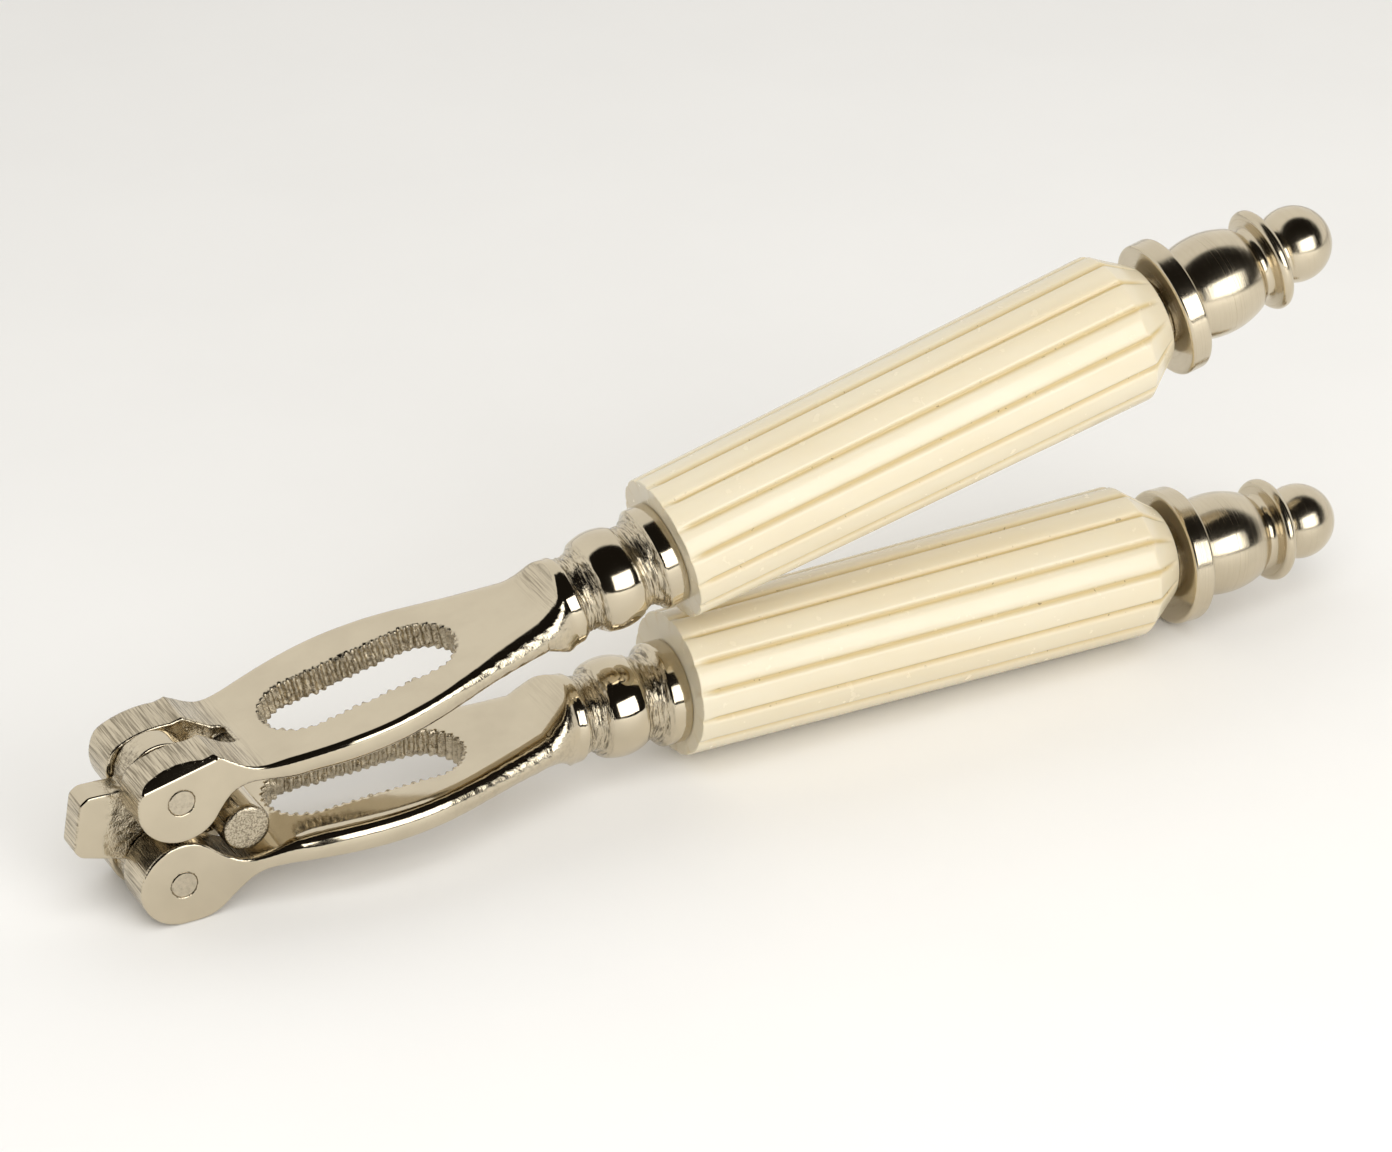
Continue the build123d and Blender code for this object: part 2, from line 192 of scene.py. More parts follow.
def surface(field, low, high, step):
    """Points and quads on the zero level of a signed field of (N, 3) points: one point in each crossed
    cell, moved onto the level by a few steps along the field's slope."""
    axes = [np.arange(a, b + step, step) for a, b in zip(low, high)]
    shape = tuple(len(axis) for axis in axes)
    grid = np.empty(shape, np.float32)
    for i, x in enumerate(axes[0]):
        y, z = np.meshgrid(axes[1], axes[2], indexing="ij")
        grid[i] = field(np.stack([np.full(y.size, x), y.ravel(), z.ravel()], axis=1)).reshape(y.shape)
    inside = grid < 0
    count = sum(inside[i:shape[0] - 1 + i, j:shape[1] - 1 + j, k:shape[2] - 1 + k].astype(np.int8)
                for i, j, k in product((0, 1), repeat=3))
    active = (count > 0) & (count < 8)
    cells = np.argwhere(active)
    index = np.full(active.shape, -1)
    index[active] = np.arange(len(cells))
    total, hits = np.zeros((len(cells), 3)), np.zeros(len(cells))
    for axis in range(3):
        unit = np.eye(3, dtype=int)[axis]
        for i, j in product((0, 1), repeat=2):
            start = cells + np.insert([i, j], axis, 0)
            a, b = grid[tuple(start.T)], grid[tuple((start + unit).T)]
            crossed = (a < 0) != (b < 0)
            share = a[crossed] / (a[crossed] - b[crossed])
            total[crossed] += start[crossed] + share[:, None] * unit
            hits += crossed
    points = np.array(low) + step * total / hits[:, None]
    faces = []
    for axis in range(3):
        a, b = (axis + 1) % 3, (axis + 2) % 3
        edges = np.argwhere(np.diff(inside, axis=axis))
        ring = []
        for i, j in ((1, 1), (0, 1), (0, 0), (1, 0)):
            cell = edges.copy()
            cell[:, a] -= i
            cell[:, b] -= j
            ring.append(index[tuple(cell.T)])
        quads = np.stack(ring, axis=1)
        outward = inside[tuple(edges.T)]
        faces.append(np.where(outward[:, None], quads, quads[:, ::-1]))
    for _ in range(4):
        value, slope = field(points), gradient(field, points)
        shift = value / np.maximum((slope ** 2).sum(axis=1), 0.2)
        points -= np.clip(shift, -step, step)[:, None] * slope
    return points, np.vstack(faces)


def gradient(field, points, h=0.02):
    """Slope of a field at the points, by central differences."""
    rises = [field(points + h * unit) - field(points - h * unit) for unit in np.eye(3)]
    return np.stack([rise / (2 * h) for rise in rises], axis=1)


# ---------------------------------------------------------------- the arms

class Arm:
    """Places points given as s, w and v of one arm in the row frame."""

    def __init__(self, name, side):
        self.name, self.side, self.body = name, side, name + "_arm"
        self.pin = np.array(next(j for j in frame["joints"] if j["name"] == name + "_hinge")["pos_m"]) / MM
        low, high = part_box(name + "_end_disc")
        reach = np.array((low + high) / 2) / MM - self.pin
        tilt = atan2(reach[2], reach[0]) - side * asin(HANDLE_OFFSET / hypot(reach[0], reach[2]))
        self.along = np.array([cos(tilt), 0, sin(tilt)])
        self.out = side * np.array([-sin(tilt), 0, cos(tilt)])

    def place(self, p):
        p = np.asarray(p, float)
        return self.pin + p[:, :1] * self.along + p[:, 1:2] * np.array([0, 1, 0]) + p[:, 2:] * self.out


upper, lower = Arm("upper", 1), Arm("lower", -1)


def add_mesh(name, body, points, faces, material, replaced, values=None, mirrored=False):
    """A smooth piece from points in row millimetres, with optional named values per point for its material."""
    mesh = bpy.data.meshes.new(name)
    faces = faces if isinstance(faces, list) else faces.tolist()
    if mirrored:
        faces = [face[::-1] for face in faces]
    mesh.from_pydata((np.asarray(points) * MM).tolist(), [], faces)
    mesh.shade_smooth()
    for key, value in (values or {}).items():
        layer = mesh.attributes.new(key, "FLOAT", "POINT")
        layer.data.foreach_set("value", np.asarray(value, np.float32))
    mesh.materials.append(material)
    piece = bpy.data.objects.new(name, mesh)
    bpy.context.scene.collection.objects.link(piece)
    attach(piece, body)
    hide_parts(replaced)


def turned(points, segments):
    """A closed turned body from an outline of (s, r) that starts and ends on the axis or forms a loop."""
    angle = np.linspace(0, 2 * pi, segments, endpoint=False)
    on_axis = [int(points[0, 1] < 1e-6), int(points[-1, 1] < 1e-6)]
    rings = points[on_axis[0]:len(points) - on_axis[1]]
    s = np.repeat(rings[:, 0], segments)
    w = np.outer(rings[:, 1], np.cos(angle)).ravel()
    v = np.outer(rings[:, 1], np.sin(angle)).ravel() + HANDLE_OFFSET
    local = np.stack([s, w, v], axis=1)
    count = len(rings)
    i, j = np.meshgrid(np.arange(count - 1), np.arange(segments), indexing="ij")
    a = (i * segments + j).ravel()
    b = (i * segments + (j + 1) % segments).ravel()
    faces = np.stack([a, b, b + segments, a + segments], axis=1).tolist()
    j = np.arange(segments)
    if on_axis[0]:
        faces += [[len(local), int((k + 1) % segments), int(k)] for k in j]
        local = np.vstack([local, [points[0, 0], 0, HANDLE_OFFSET]])
    if on_axis[1]:
        base = (count - 1) * segments
        faces += [[len(local), base + int(k), base + int((k + 1) % segments)] for k in j]
        local = np.vstack([local, [points[-1, 0], 0, HANDLE_OFFSET]])
    if not any(on_axis):
        base = (count - 1) * segments
        faces += np.stack([base + j, base + (j + 1) % segments, (j + 1) % segments, j], axis=1).tolist()
    return local, faces


# ---------------------------------------------------------------- materials

def new_material(name, colour, roughness, metallic=0.0):
    material = bpy.data.materials.new(name)
    material.use_nodes = True
    shader = material.node_tree.nodes["Principled BSDF"]
    shader.inputs["Base Color"].default_value = (*colour, 1)
    shader.inputs["Roughness"].default_value = roughness
    shader.inputs["Metallic"].default_value = metallic
    return material, shader


class Nodes:
    """Short calls for building one material's node tree."""

    def __init__(self, material, tilt=0.0):
        self.tree, self.tilt = material.node_tree, tilt
        self.place = self.add("ShaderNodeTexCoord").outputs["Object"]

    def add(self, kind, inputs=(), **settings):
        node = self.tree.nodes.new(kind)
        for key, value in settings.items():
            setattr(node, key, value)
        for key, value in dict(inputs).items():
            if isinstance(value, bpy.types.NodeSocket):
                self.tree.links.new(value, node.inputs[key])
            else:
                node.inputs[key].default_value = value
        return node

    def noise(self, size, detail=2.0, stretch=(1, 1, 1)):
        """Noise with features of about the given size in millimetres, longer where the stretch is larger.
        The axes of the stretch are turned by the tilt, so that they follow an arm."""
        scale = tuple(MM * size * k for k in stretch)
        inputs = {"Vector": self.place, "Rotation": (0, -self.tilt, 0), "Scale": scale}
        turn = self.add("ShaderNodeMapping", inputs, vector_type="TEXTURE")
        noise = self.add("ShaderNodeTexNoise", {"Vector": turn.outputs[0], "Scale": 1.0, "Detail": detail})
        return noise.outputs["Fac"]

    def value(self, name):
        return self.add("ShaderNodeAttribute", attribute_name=name).outputs["Fac"]

    def map(self, value, low, high, to_low, to_high):
        return self.add("ShaderNodeMapRange", {"Value": value, "From Min": low, "From Max": high,
                                               "To Min": to_low, "To Max": to_high}).outputs["Result"]

    def maths(self, operation, a, b):
        return self.add("ShaderNodeMath", {0: a, 1: b}, operation=operation).outputs[0]

    def mix(self, factor, a, b):
        node = self.add("ShaderNodeMix", {"Factor": factor}, data_type="RGBA")
        for socket, value in ((node.inputs[6], a), (node.inputs[7], b)):
            if isinstance(value, bpy.types.NodeSocket):
                self.tree.links.new(value, socket)
            else:
                socket.default_value = (*value, 1)
        return node.outputs[2]

    def bump(self, height, strength, distance, normal=None):
        inputs = {"Height": height, "Strength": strength, "Distance": distance * MM}
        if normal is not None:
            inputs["Normal"] = normal
        return self.add("ShaderNodeBump", inputs).outputs["Normal"]

    def link(self, value, socket):
        self.tree.links.new(value, socket)


NICKEL = (0.64, 0.565, 0.43)
NICKEL_DARK = (0.40, 0.345, 0.25)


def cast_nickel(name, tilt):
    """Polished nickel: the casting's skin where "cast" is high, file marks for "marks" (on the link's bar end
    also darker as painted shade), rings for "coves".
    """
    material, shader = new_material(name, NICKEL, 0.1, 1.0)
    n = Nodes(material, tilt)
    cast, marks, coves = n.value("cast"), n.value("marks"), n.value("coves")
    clouds = n.noise(6.0, 3.0)
    scratches = n.noise(0.16, 2.0, (26, 3, 1))
    filing = n.noise(0.2, 4.0, (1, 26, 1))
    rings = n.noise(0.24, 3.0, (1, 7, 7))
    grit = n.noise(0.25, 4.0)
    pits = n.noise(0.5, 3.0)
    colour = n.mix(n.map(clouds, 0.35, 0.7, 0, 0.22), NICKEL, NICKEL_DARK)
    streaks = n.maths("MULTIPLY", marks, n.map(filing, 0.44, 0.62, 0, 0.85))
    streaked = n.mix(streaks, colour, (0.22, 0.185, 0.13))
    grooves = n.maths("MULTIPLY", coves, n.map(rings, 0.5, 0.66, 0, 0.8))
    ringed = n.mix(grooves, streaked, (0.12, 0.10, 0.07))
    stained = n.mix(n.map(pits, 0.45, 0.68, 0, 0.6), ringed, (0.15, 0.12, 0.08))
    n.link(n.mix(cast, ringed, stained), shader.inputs["Base Color"])
    smooth = n.maths("ADD", n.map(clouds, 0.3, 0.7, 0.05, 0.12),
                     n.maths("MULTIPLY", marks, n.map(filing, 0.3, 0.7, 0.04, 0.24)))
    rough = n.map(pits, 0.3, 0.7, 0.10, 0.28)
    n.link(n.add("ShaderNodeMix", {"Factor": cast, 2: smooth, 3: rough}).outputs[0], shader.inputs["Roughness"])
    wave = n.bump(n.noise(3.0, 2.0), 0.04, 0.3)
    fine = n.bump(scratches, 0.03, 0.02, wave)
    filed = n.bump(n.maths("MULTIPLY", filing, marks), 0.8, 0.07, fine)
    ringing = n.bump(n.maths("MULTIPLY", rings, coves), 1.0, 0.22, filed)
    n.link(n.bump(n.maths("MULTIPLY", grit, cast), 1.0, 0.10, ringing), shader.inputs["Normal"])
    return material


def turned_nickel(name):
    """Lathe-finished nickel: fine rings along the value "along"."""
    material, shader = new_material(name, NICKEL, 0.08, 1.0)
    n = Nodes(material)
    rings = n.add("ShaderNodeTexNoise", {"W": n.value("along"), "Scale": 9.0, "Detail": 3.0},
                  noise_dimensions="1D").outputs["Fac"]
    clouds = n.noise(5.0, 3.0)
    colour = n.mix(n.map(clouds, 0.4, 0.75, 0, 0.25), NICKEL, NICKEL_DARK)
    n.link(n.mix(n.map(rings, 0.58, 0.75, 0, 0.5), colour, (0.42, 0.33, 0.19)), shader.inputs["Base Color"])
    n.link(n.maths("ADD", n.map(clouds, 0.3, 0.7, 0.10, 0.18), n.map(rings, 0.42, 0.75, 0, 0.14)),
           shader.inputs["Roughness"])
    n.link(n.bump(rings, 0.35, 0.03, n.bump(n.noise(2.5, 2.0), 0.04, 0.2)), shader.inputs["Normal"])
    return material


def steel(name, colour, size):
    """Plain bright steel with small marks."""
    material, shader = new_material(name, colour, 0.2, 1.0)
    n = Nodes(material)
    marks = n.noise(size, 4.0)
    dark = tuple(0.55 * c for c in colour)
    n.link(n.mix(n.map(marks, 0.4, 0.7, 0, 0.4), colour, dark), shader.inputs["Base Color"])
    n.link(n.map(marks, 0.3, 0.7, 0.10, 0.30), shader.inputs["Roughness"])
    n.link(n.bump(marks, 0.3, 0.05), shader.inputs["Normal"])
    return material


def grip_plastic(name):
    """Cream moulded plastic, with a painted shade of darker gold where the value "crease" is high, and a few
    dark specks there.
    """
    material, shader = new_material(name, (0.86, 0.73, 0.50), 0.2)
    shader.inputs["Subsurface Weight"].default_value = 0.12
    shader.inputs["Subsurface Radius"].default_value = (1.0, 0.8, 0.5)
    shader.inputs["Subsurface Scale"].default_value = 0.001
    shader.inputs["Coat Weight"].default_value = 0.2
    shader.inputs["Coat Roughness"].default_value = 0.08
    n = Nodes(material)
    crease = n.value("crease")
    clouds = n.noise(9.0, 3.0, (4, 1, 1))
    colour = n.mix(n.map(clouds, 0.35, 0.7, 0, 1), (0.76, 0.69, 0.53), (0.73, 0.64, 0.46))
    # painted shade: the creases are tinted darker gold, as if shade fell in them
    crease_shaded = n.mix(crease, colour, (0.64, 0.50, 0.25))
    specks = n.maths("MULTIPLY", crease, n.map(n.noise(0.5, 0.0), 0.78, 0.82, 0, 0.7))
    n.link(n.mix(specks, crease_shaded, (0.16, 0.11, 0.05)), shader.inputs["Base Color"])
    n.link(n.map(n.noise(1.6, 3.0), 0.3, 0.7, 0.16, 0.28), shader.inputs["Roughness"])
    n.link(n.bump(n.noise(4.0, 2.0, (3, 1, 1)), 0.10, 0.3), shader.inputs["Normal"])
    return material


cast_upper = cast_nickel("cast nickel, upper", atan2(upper.along[2], upper.along[0]))
cast_lower = cast_nickel("cast nickel, lower", atan2(lower.along[2], lower.along[0]))
lathe = turned_nickel("turned nickel")
pin_metal = steel("pin steel", (0.60, 0.53, 0.41), 0.5)
tang_metal = steel("tang steel", (0.42, 0.40, 0.37), 0.8)
cream = grip_plastic("cream plastic")


# ---------------------------------------------------------------- jaws

def plate_outer(s):
    """v of the plate's outer face."""
    return PLATE_V + PLATE_LEAN * s


neck_line = softened(outline(
    (SHOULDER, SHOULDER_R), (54.3, SHOULDER_R), (55.95, 4.8, 57.6, 5.9), (59.95, 6.35, 62.3, 5.9),
    (63.9, 5.25, 65.5, COLLAR_R), (NECK_END, COLLAR_R)), 0.16, 0.04)

crown_line = Curve(
    [(0, KNUCKLE_R), (4.0, 4.91), (5.99, 3.51), (8.6, 1.1), (12, plate_outer(12))], 0, PLATE_LEAN)
crown_line.joined(Curve([(12.01, plate_outer(12.01)), (RAMP, plate_outer(RAMP))], PLATE_LEAN, PLATE_LEAN))
crown_line.joined(Curve([(RAMP + 0.01, plate_outer(RAMP)), (51.2, 0.05), (SHOULDER, 2.14)], PLATE_LEAN, 1.6))

root_v = plate_outer(SLOT_START) - ROOT_THICK
slot_end_v = plate_outer(SLOT_END) - SLOT_THICK
ramp_v = plate_outer(RAMP) - NECK_THICK
belly_line = Curve([(0, -KNUCKLE_R), (3.82, -3.82)], 0, 1.0)
belly_line.joined(Curve([(3.83, -3.81), (8.6, -1.35), (SLOT_START, root_v)], 1.0, -0.15))
belly_line.joined(Curve([(SLOT_START + 0.01, root_v), (SLOT_END, slot_end_v), (RAMP, ramp_v)], -0.15, -0.15))
belly_line.joined(Curve([(RAMP + 0.01, ramp_v), (SHOULDER, -9.06)], -0.75, -0.75))

flank_line = Curve([(-8, KNUCKLE_HALF), (6, KNUCKLE_HALF)], 0, 0)
flank_line.joined(Curve(
    [(6.01, KNUCKLE_HALF), (13.3, 9.75), (27.13, 11.7), (42.56, 8.65), (SHOULDER, SHOULDER_R)], 0.25, -0.45))


def slot_gap(s, w):
    """Distance of points outwards from the slot's plain outline."""
    return np.hypot(np.maximum(np.abs(s - SLOT_MIDDLE) - SLOT_STRAIGHT / 2, 0), w) - SLOT_R


def slot_tooth(s, w):
    """Depth of the slot's teeth at the nearest point of its wall."""
    past = np.abs(s - SLOT_MIDDLE) - SLOT_STRAIGHT / 2
    turn = np.arctan2(np.abs(w), past)
    run = np.where(past < 0, -past / (SLOT_STRAIGHT / SIDE_TEETH), (turn - pi / 2) * END_TEETH / pi)
    return TOOTH_DEPTH * (0.5 - 0.5 * np.cos(2 * pi * run)) ** 0.8


def jaw_field(filed):
    """Signed field of one jaw; the upper jaw's knuckle is also filed flat and bevelled."""
    def field(p):
        s, w, v = p.T
        across, from_pin = np.abs(w), np.hypot(s, v)
        flank, ring = flank_line.above(s, across), np.hypot(w, v - HANDLE_OFFSET)
        outer, inner = crown_line.above(s, v), -belly_line.above(s, v)
        outer_round = 0.35 + 0.75 * ease(s, 8, 14) + 0.3 * ease(s, 14, 40) + 1.8 * ease(s, 32, 49)
        inner_round = 0.35 + 1.9 * ease(s, 9, 17) + 0.9 * ease(s, 32, 49)
        side_profile = np.minimum(from_pin - KNUCKLE_R, np.maximum(np.maximum(outer, inner), -s))
        body = smooth_max(side_profile, flank, np.where(outer > inner, outer_round, inner_round))
        if filed:
            filed_top = v - FILED_V + 0.04 * np.minimum(s * s, 16) - 8 * ease(s, 5.0, 9.0)
            bevel = -0.78 * (w + KNUCKLE_HALF) + 0.62 * (v - BEVEL_V) - 6 * ease(s, 5.5, 7.5)
            body = smooth_max(smooth_max(body, filed_top, 0.35), bevel, 0.08)
        cone = (ring - SHOULDER_R - (SHOULDER - s) * 0.426) * 0.92
        body = smooth_max(smooth_max(body, cone, 0.3), s - SHOULDER - 0.2, 0.2)
        neck = (ring - np.interp(s, neck_line[:, 0], neck_line[:, 1])) * 0.8
        neck = smooth_max(smooth_max(neck, s - NECK_END, 0.25), SHOULDER - s, 0.35)
        body = smooth_min(body, neck, 0.35)
        fork = smooth_max(across - FORK_HALF, s - FORK_END, 0.3)
        slope = s - NOTCH_END + 0.5 * (v - NOTCH_V)
        runout = smooth_max(smooth_max(across - FORK_HALF, slope, 0.3), NOTCH_V - v, 0.4)
        body = smooth_max(body, -smooth_min(fork, runout, 0.2), 0.3)
        body = smooth_max(body, slot_tooth(s, w) - slot_gap(s, w), 0.55)
        body = smooth_max(body, BORE_R - from_pin, 0.04)
        return smooth_max(body, -smooth_max(ring - SOCKET_R, SOCKET_START - s, 0.2), 0.2)
    return field


def build_jaw(arm, filed, seed):
    """One jaw casting, with its cast, filed and grooved areas as values for the material."""
    field = jaw_field(filed)
    points, faces = surface(field, (-6.3, -12.6, -11.0), (69.0, 12.6, 6.3), fine_step)
    s, w, v = points.T
    normal = gradient(field, points)
    normal /= np.linalg.norm(normal, axis=1)[:, None]
    ring = np.hypot(w, v - HANDLE_OFFSET)
    coves = sum(ease(s, a, b) * (1 - ease(s, c, d)) for a, b, c, d in COVES)
    walls = (1 - ease(slot_gap(s, w), 0.35, 0.75)) * ease(s, 12, 14) * (1 - ease(s, 42, 44))
    fork = (1 - ease(np.abs(w), 1.95, 2.15)) * (1 - ease(s, 10.0, 10.6)) * ease(s, 4.0, 5.5)
    sideways = np.abs(normal[:, 1])
    side = ease(sideways, 0.35, 0.6) * ease(s, 9, 20) * (1 - ease(s, 51.5, 53))
    filed_skin = (1 - ease(sideways, 0.3, 0.6)) * (1 - ease(s, 8.5, 11.5))
    ramps = ease(s, 49.2, 50.5) * (1 - ease(s, 52.6, SHOULDER)) * (1 - ease(sideways, 0.5, 0.7))
    lumps = relief(points, (0.75, 0.75, 0.75), seed)
    rings = relief(points, (0.32, 1.5, 1.5), seed + 1)
    height = (0.07 * coves * rings + 0.06 * walls * lumps + 0.06 * fork * lumps
              + 0.014 * side * ease(s, 22, 48) * relief(points, (0.8, 0.8, 0.5), seed + 2))
    height = np.where(ring < 3, 0, height)
    cast = np.clip(0.25 * coves + walls + fork + 0.3 * side * ease(s, 22, 48), 0, 1)
    scoop = ramps * np.exp(-((s - 51.3) / 1.0) ** 2 - ((w - 0.5) / 4.5) ** 2) * (v > -2)
    marks = np.clip(filed_skin + 0.12 * ramps + (0.8 if filed else 0.1) * scoop, 0, 1)
    points = points + height[:, None] * normal
    add_mesh(arm.name + "_jaw_casting", arm.body, arm.place(points), faces,
             cast_upper if arm.side > 0 else cast_lower, arm.name + "_jaw",
             {"cast": cast, "marks": marks, "coves": coves}, mirrored=arm.side < 0)


build_jaw(upper, True, 11)
build_jaw(lower, False, 37)


# ---------------------------------------------------------------- link

def build_link():
    """The central link, in a frame midway between the pins with z along the line through them."""
    pins = upper.pin - lower.pin
    middle = (upper.pin + lower.pin) / 2
    up = pins / np.linalg.norm(pins)
    along = np.array([up[2], 0, -up[0]])
    skew = radians(LINK_SKEW)
    corner_s, corner_v = TAB_S - TAB_CORNER, TAB_HALF - TAB_CORNER
    corners = [(BAR_S, 2.8), (BAR_S, -1.6), (0, -LOBE_R), (-LOBE_R, -LOBE_R), (-corner_s, -TAB_HALF),
               (-TAB_S, -corner_v), (-TAB_S, corner_v), (-corner_s, TAB_HALF), (-LOBE_R, LOBE_R), (0, LOBE_R)]

    def field(p):
        x, y, z = p.T
        tx, tz = x * cos(skew) - z * sin(skew), x * sin(skew) + z * cos(skew)
        lobes = np.hypot(x, np.maximum(np.abs(z) - LOBE_RISE, 0)) - LOBE_R
        plate = None
        for a, b in zip(corners, corners[1:] + corners[:1]):
            edge = np.subtract(b, a) / np.linalg.norm(np.subtract(b, a))
            gap = -(tx - a[0]) * edge[1] + (tz - a[1]) * edge[0]
            plate = gap if plate is None else smooth_max(plate, gap, 0.3)
        body = smooth_max(smooth_min(lobes, plate, 0.4), np.abs(y) - LINK_HALF, 0.3)
        bar = smooth_max(np.hypot(tx - BAR_S, tz - BAR_RISE) - BAR_R, np.abs(y) - BAR_HALF, 0.7)
        body = smooth_min(body, bar, 0.5)
        holes = np.hypot(x, np.abs(z) - LOBE_RISE) - LINK_BORE_R
        return smooth_max(body, -holes, 0.1)

    points, faces = surface(field, (-12.5, -7.9, -11.2), (12.6, 7.9, 11.2), fine_step * 0.9)
    normal = gradient(field, points)
    normal /= np.linalg.norm(normal, axis=1)[:, None]
    x, y = points[:, 0], points[:, 1]
    root = 1 - ease(np.abs(x + 4.5), 1.2, 3.2)
    end = ease(-normal[:, 0], 0.6, 0.9)
    # the bar's end has file marks, and is darkened as a painted shade where the lower jaw shadows what it
    # reflects
    bar_end_marks_and_shade = ease(np.abs(y), 6.4, 6.8)
    cast = np.clip(0.9 * root + 0.15 * bar_end_marks_and_shade, 0, 1)
    marks = np.clip(bar_end_marks_and_shade + end, 0, 1)
    points = points + (0.045 * cast * relief(points, (0.8, 0.8, 0.8), 5))[:, None] * normal
    placed = middle + points[:, :1] * along + points[:, 1:2] * np.array([0, 1, 0]) + points[:, 2:] * up
    add_mesh("central_link", "link", placed, faces, cast_lower, "hinge_link",
             {"cast": cast, "marks": marks})


build_link()


# ---------------------------------------------------------------- grips

def build_grip(arm, shift):
    """Fluted sleeve: convex ribs with narrow creases that run out just before the front face."""
    taper_s = GRIP_END - GRIP_TAPER
    line = softened(outline(
        (NECK_END, GRIP_BORE_R), (NECK_END, GRIP_R), (taper_s, GRIP_TAPER_R), (GRIP_END, GRIP_END_R),
        (GRIP_END, GRIP_BORE_R)), 0.12, 0.12)
    # the long straight run needs few rings; the ends and corners keep all of theirs
    bent = np.linalg.norm(np.diff(line, 2, axis=0), axis=1) > 1e-5
    keep = np.append(np.append(True, bent), True) | (line[:, 0] < 71) | (line[:, 0] > taper_s - 1)
    keep[::6] = True
    line = line[keep]
    segments = FLUTES * 26
    local, faces = turned(line, segments)
    s, r = local[:, 0], np.repeat(line[:, 1], segments)
    turn = np.tile(np.arange(segments) * FLUTES / segments, len(line)) + FLUTES * arm.side / 4
    phase = 2 * np.abs(turn - np.round(turn))
    full = GRIP_R + (GRIP_BACK_R - GRIP_R) * (s - NECK_END) / (GRIP_END - NECK_END)
    crease = np.exp(-((1 - phase) / CREASE_WIDTH) ** 2) * (0.3 + 0.7 * ease(s, NECK_END + 0.4, NECK_END + 2.4))
    limit = full - FLUTE_CROWN * phase ** 2 - CREASE_DEPTH * crease
    fluted = np.where(r < 5.5, r, smooth_min(r, limit, 0.2))
    fluted -= 0.22 * crease * ease(s, taper_s - 1.5, taper_s + 1) * ease(r, 6.3, 7.5)
    local[:, 1] *= fluted / r
    local[:, 2] = (local[:, 2] - HANDLE_OFFSET) * fluted / r + HANDLE_OFFSET + shift
    # painted shade in the creases, passed to the material as the value "crease"
    shade = crease * ease(r, 6.6, 8.8)
    add_mesh(arm.name + "_fluted_grip", arm.body, arm.place(local), faces, cream,
             arm.name + "_grip", {"crease": shade}, mirrored=arm.side < 0)


build_grip(upper, UPPER_GRIP_SHIFT)
build_grip(lower, LOWER_GRIP_SHIFT)


# ---------------------------------------------------------------- discs and finials

def build_turned(arm, name, line, replaced, segments):
    """A lathe-turned piece; "along" runs up its side, so that its rings lie across it."""
    local, faces = turned(line, segments)
    ring = np.hypot(local[:, 1], local[:, 2] - HANDLE_OFFSET)
    along = local[:, 0] + 0.6 * ring
    add_mesh(f"{arm.name}_{name}", arm.body, arm.place(local), faces, lathe, replaced,
             {"along": along}, mirrored=arm.side < 0)


segments = 192
disc_line = softened(outline(
    (DISC_START, TANG_BORE_R), (DISC_START, 8.35), (139.34, 8.66, 139.65, DISC_R), (141.65, DISC_R),
    (141.96, 8.66, DISC_END, 8.35), (DISC_END, TANG_BORE_R)), 0.05, 0.09)
finial_line = softened(outline(
    (DISC_END, 0), (DISC_END, 5.6), (142.5, 5.72), (142.62, 5.5), (142.85, 5.62),            # lip
    (147.55, 6.6, 152.2, 5.55),                                                             # barrel
    (152.35, 5.2), (153.25, 4.55, 154.1, 5.2),                                              # cove
    (154.35, 6.2), (155.2, 6.7, 155.95, 6.15), (156.5, 4.6), (156.75, 4.0), (157.2, 4.0),   # flange
    (163.49, 3.46, 164.93, 0)), 0.07, 0.09)                                                 # ball

for arm in (upper, lower):
    build_turned(arm, "disc", disc_line, arm.name + "_end_disc", segments)
    build_turned(arm, "turned_end", finial_line, arm.name + "_finial", segments)
    for node, material in ((arm.name + "_hinge_pin", pin_metal), (arm.name + "_tang", tang_metal),
                           (arm.name + "_grip_nut", pin_metal)):
        mesh = frame["nodes"][node].data
        mesh.materials.clear()
        mesh.materials.append(material)


# ---------------------------------------------------------------- studio

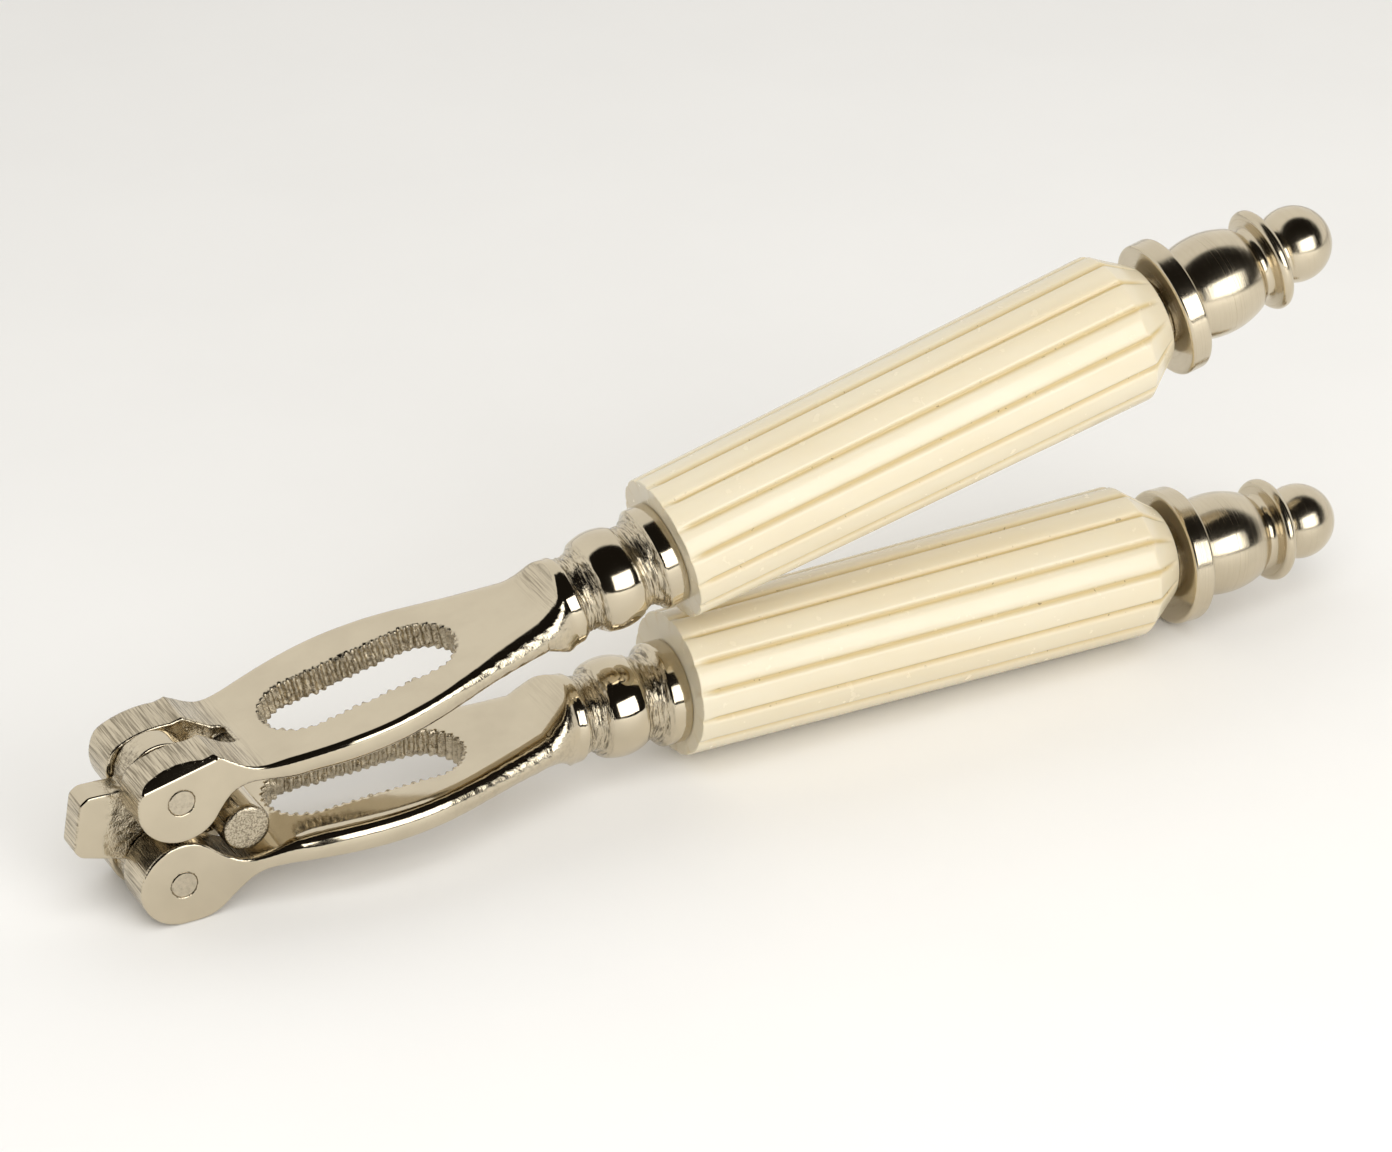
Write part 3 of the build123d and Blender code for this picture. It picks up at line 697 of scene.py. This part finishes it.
def build_studio():
    """Pale floor, a bright room with one dark side that the metal reflects, and two softboxes."""
    floor = bpy.data.meshes.new("floor")
    half = 6.0
    below = -FLOOR_DROP * MM
    floor.from_pydata([(-half, -half, below), (half, -half, below), (half, half, below), (-half, half, below)],
                      [], [(0, 1, 2, 3)])
    material, shader = new_material("pale floor", (0.93, 0.925, 0.91), 0.6)
    shader.inputs["Specular IOR Level"].default_value = 0.2
    n = Nodes(material)
    n.link(n.mix(n.map(n.noise(30, 3.0), 0.3, 0.7, 0, 1), (0.93, 0.925, 0.915), (0.915, 0.91, 0.9)),
           shader.inputs["Base Color"])
    floor.materials.append(material)
    ground = bpy.data.objects.new("floor", floor)
    bpy.context.scene.collection.objects.link(ground)

    world = bpy.data.worlds.new("studio")
    world.use_nodes = True
    bpy.context.scene.world = world
    tree = world.node_tree
    make, join = tree.nodes.new, tree.links.new
    background = tree.nodes["Background"]
    place = make("ShaderNodeTexCoord")
    facing = make("ShaderNodeVectorMath")
    facing.operation = "DOT_PRODUCT"
    facing.inputs[1].default_value = Vector((0.0, -0.75, 0.66)).normalized()
    join(place.outputs["Generated"], facing.inputs[0])
    edge = make("ShaderNodeMapRange")
    edge.interpolation_type = "SMOOTHSTEP"
    edge.inputs["From Min"].default_value = 0.34
    edge.inputs["From Max"].default_value = 0.46
    join(facing.outputs["Value"], edge.inputs["Value"])
    colour = make("ShaderNodeMix")
    colour.data_type = "RGBA"
    colour.inputs[6].default_value = (0.95, 0.93, 0.89, 1)
    colour.inputs[7].default_value = (0.012, 0.010, 0.008, 1)
    join(edge.outputs["Result"], colour.inputs["Factor"])
    ray = make("ShaderNodeLightPath")
    seen = make("ShaderNodeMix")
    seen.data_type = "RGBA"
    seen.inputs[7].default_value = (0.96, 0.96, 0.955, 1)
    join(ray.outputs["Is Camera Ray"], seen.inputs["Factor"])
    join(colour.outputs[2], seen.inputs[6])
    join(seen.outputs[2], background.inputs["Color"])

    def softbox(name, direction, distance, width, height, radiance, colour, reflected):
        light = bpy.data.lights.new(name, "AREA")
        light.shape, light.size, light.size_y = "RECTANGLE", width, height
        light.energy = radiance * pi * width * height
        light.color = colour
        lamp = bpy.data.objects.new(name, light)
        bpy.context.scene.collection.objects.link(lamp)
        toward = Vector(direction).normalized()
        lamp.location = toward * distance
        lamp.rotation_euler = toward.to_track_quat("Z", "Y").to_euler()
        lamp.visible_camera = False
        lamp.visible_glossy = reflected

    softbox("key softbox", (0.26, -0.89, 0.37), 0.7, 0.60, 0.41, 3.1, (1, 0.99, 0.97), True)
    softbox("fill", (-0.2, -0.55, 0.9), 1.0, 1.2, 1.2, 2.0, (1, 0.985, 0.95), False)


def build_camera():
    """Camera of the reference view; its numbers are in the frame midway between the two pins."""
    phi, rise, roll = radians(28.41), radians(28.92), radians(1.19)
    offset_right, offset_up, distance = 63.38, 27.88, 632.23
    ahead = np.array([sin(phi) * cos(rise), cos(phi) * cos(rise), -sin(rise)])
    right = np.array([cos(phi), -sin(phi), 0])
    up = np.cross(right, ahead)
    right, up = cos(roll) * right + sin(roll) * up, cos(roll) * up - sin(roll) * right
    spot = offset_right * right + offset_up * up - distance * ahead
    pins = (upper.pin - lower.pin) / np.linalg.norm(upper.pin - lower.pin)
    turn = np.array([[pins[2], 0, pins[0]], [0, 1, 0], [-pins[0], 0, pins[2]]])
    camera = bpy.data.cameras.new("camera")
    camera.lens, camera.sensor_width = 138.97, 36.0
    camera.clip_start, camera.clip_end = 0.01, 20.0
    holder = bpy.data.objects.new("camera", camera)
    bpy.context.scene.collection.objects.link(holder)
    columns = [turn @ axis for axis in (right, up, -ahead)]
    matrix = Matrix([[*row] for row in np.array(columns).T]).to_4x4()
    matrix.translation = Vector(((upper.pin + lower.pin) / 2 + turn @ spot) * MM)
    holder.matrix_world = matrix
    bpy.context.scene.camera = holder


build_studio()
build_camera()
bpy.context.scene.view_settings.view_transform = "Standard"
